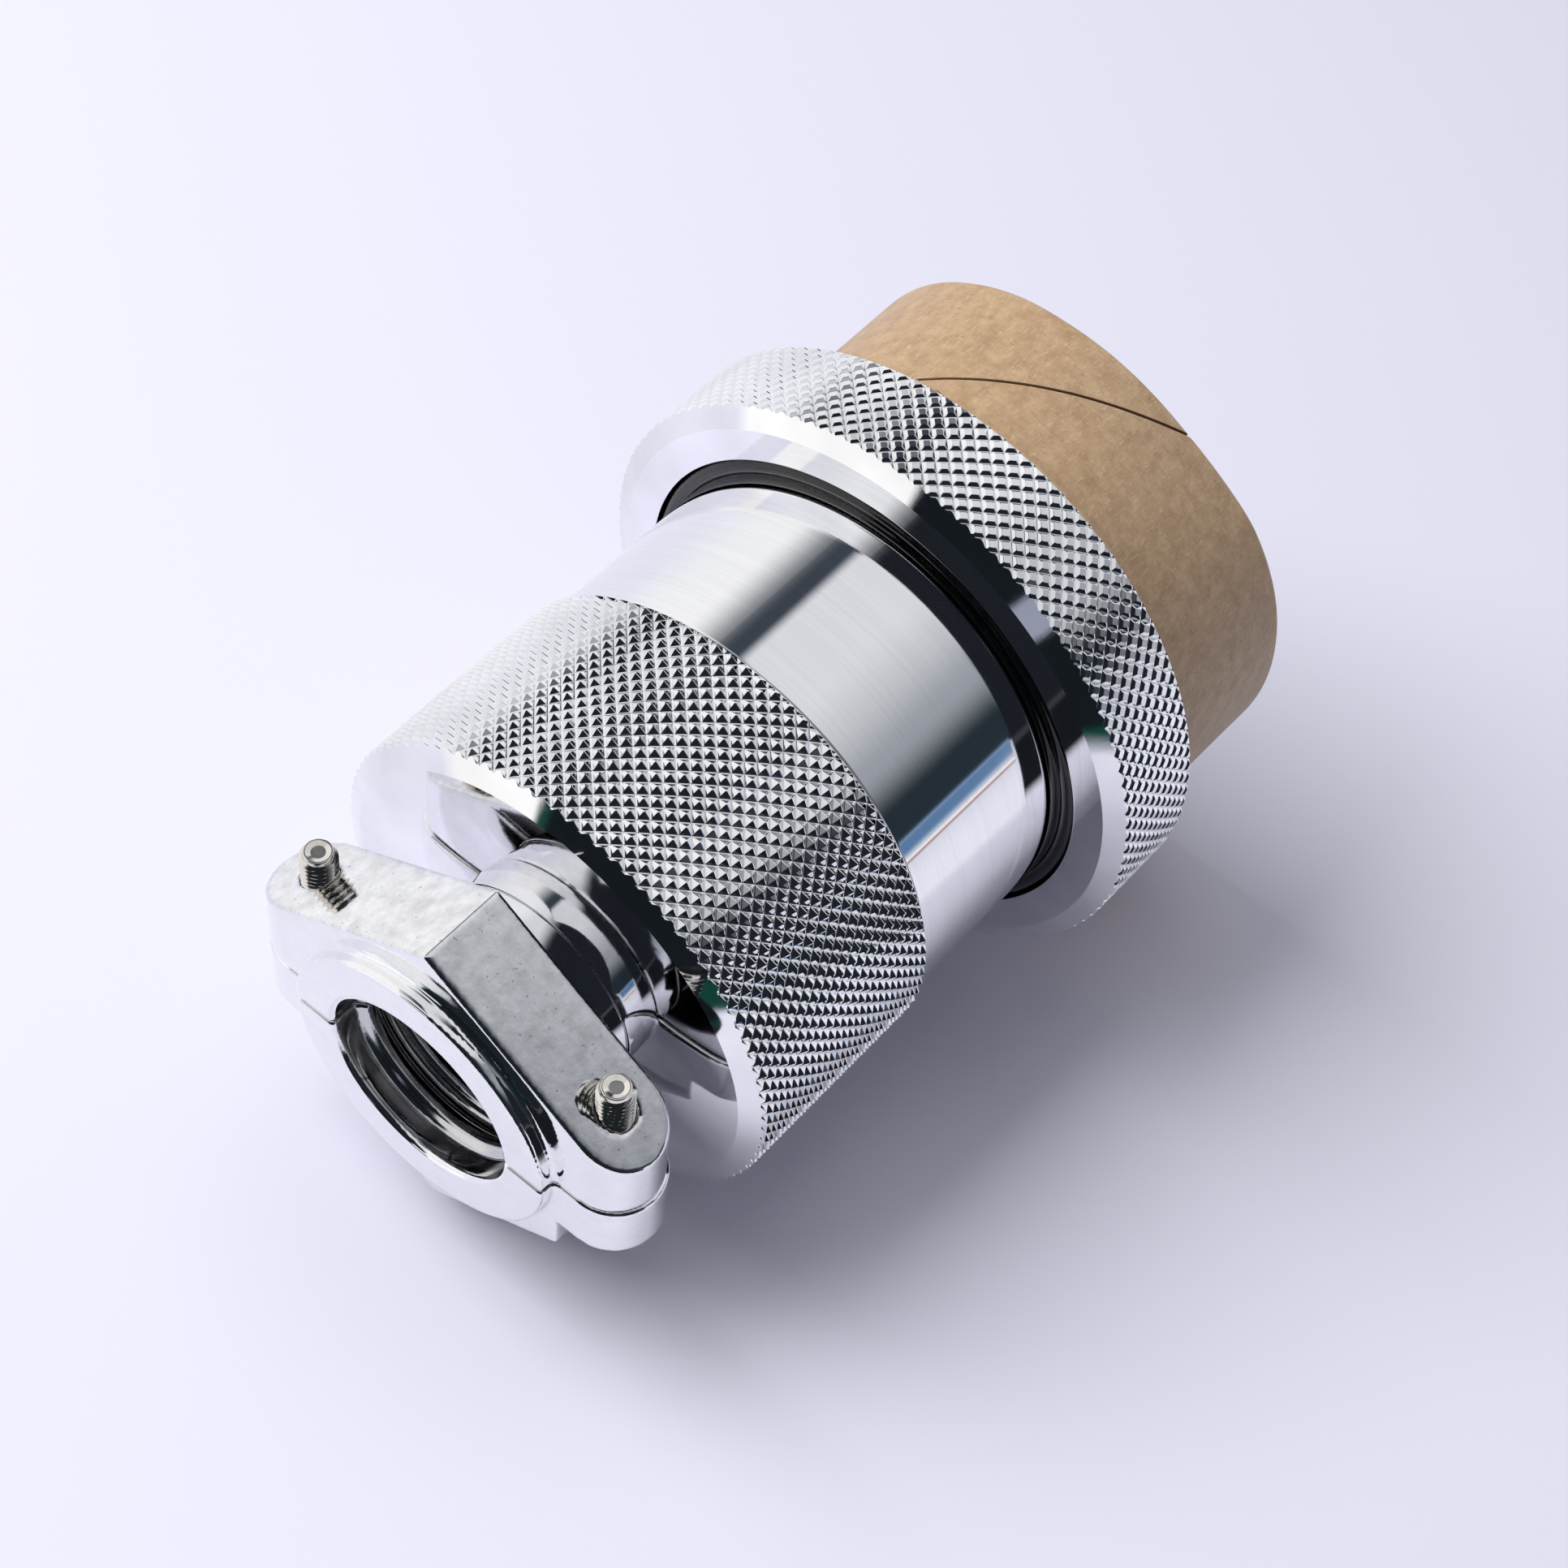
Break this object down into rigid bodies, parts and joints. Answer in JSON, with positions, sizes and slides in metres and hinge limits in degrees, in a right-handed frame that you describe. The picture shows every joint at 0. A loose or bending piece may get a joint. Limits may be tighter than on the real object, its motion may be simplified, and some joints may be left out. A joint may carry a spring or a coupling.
{
  "type": "circular cable plug",
  "caption": "Round chrome cable plug with knurled coupling and gland nuts, a rubber ring, a two-part saddle cable clamp and a paper sleeve over its mating end.",
  "frame": {"origin": "centre of the paper sleeve's end plane on the plug's axis, which is the bottom of the part as it stands on its mating end", "axes": "+Z along the plug's axis out of the cable clamp; the clamp screws lie along Y with their tips to -Y; +X towards the left-hand screw seen with the tips up and the cable end near"},
  "size_m": [0.054, 0.054, 0.0779],
  "materials": {
    "brushed_chrome": "fine turned chrome plate",
    "coupling_chrome": "polished chrome plate, diamond knurl with flat tops",
    "gland_chrome": "polished chrome plate, sharp diamond knurl",
    "clamp_chrome": "polished chrome plate on a casting",
    "screw_steel": "nickel plate, fine thread",
    "black_rubber": "smooth black rubber",
    "insert_plastic": "black moulding",
    "contact_metal": "silver plate on brass",
    "spring_steel": "plain steel",
    "kraft_paper": "wound kraft paper tube"
  },
  "bodies": {
    "plug_body": {"plug_barrel": "brushed_chrome", "barrel_ring": "black_rubber", "face_gasket": "black_rubber", "insert_front": "insert_plastic", "insert_rear": "insert_plastic", "insert_snap_ring": "spring_steel", "contact_01": "contact_metal", "contact_02": "contact_metal", "contact_03": "contact_metal", "contact_04": "contact_metal", "contact_05": "contact_metal", "contact_06": "contact_metal", "contact_07": "contact_metal", "contact_08": "contact_metal", "sealing_bush": "black_rubber"},
    "coupling_nut": {"coupling_nut": "coupling_chrome"},
    "paper_sleeve": {"paper_sleeve": "kraft_paper"},
    "gland_carrier": {"gland_washer": "spring_steel"},
    "gland_nut": {"gland_nut": "gland_chrome"},
    "clamp_unit": {"clamp_body": "clamp_chrome"},
    "clamp_saddle": {"clamp_saddle": "clamp_chrome"},
    "clamp_screw_left": {"clamp_screw_left": "screw_steel"},
    "clamp_screw_right": {"clamp_screw_right": "screw_steel"}
  },
  "joints": [
    {"name": "coupling_nut_turn", "type": "hinge", "parent": "plug_body", "child": "coupling_nut", "pos_m": [0, 0, 0.0246], "axis": [0, 0, 1], "continuous": true},
    {"name": "sleeve_pull", "type": "slide", "parent": "plug_body", "child": "paper_sleeve", "axis": [0, 0, -1], "range_m": [0, 0.03]},
    {"name": "gland_travel", "type": "slide", "parent": "plug_body", "child": "gland_carrier", "axis": [0, 0, 1], "range_m": [0, 0.006]},
    {"name": "gland_nut_turn", "type": "hinge", "parent": "gland_carrier", "child": "gland_nut", "pos_m": [0, 0, 0.0591], "axis": [0, 0, 1], "range_deg": [0, 2161]},
    {"name": "clamp_swivel", "type": "hinge", "parent": "gland_carrier", "child": "clamp_unit", "pos_m": [0, 0, 0.0581], "axis": [0, 0, 1], "continuous": true},
    {"name": "saddle_lift", "type": "slide", "parent": "clamp_unit", "child": "clamp_saddle", "axis": [0, -1, 0], "range_m": [0, 0.004]},
    {"name": "screw_left_turn", "type": "hinge", "parent": "clamp_unit", "child": "clamp_screw_left", "pos_m": [0.01488, 0.005, 0.07245], "axis": [0, 1, 0], "range_deg": [0, 2881]},
    {"name": "screw_right_turn", "type": "hinge", "parent": "clamp_unit", "child": "clamp_screw_right", "pos_m": [-0.01488, 0.005, 0.07245], "axis": [0, 1, 0], "range_deg": [0, 2881]}
  ],
  "couplings": [
    {"joint": "gland_nut_turn", "follows": "gland_travel", "rad_per_m": 6283.2},
    {"joint": "screw_left_turn", "follows": "saddle_lift", "rad_per_m": 12566},
    {"joint": "screw_right_turn", "follows": "saddle_lift", "rad_per_m": 12566}
  ]
}
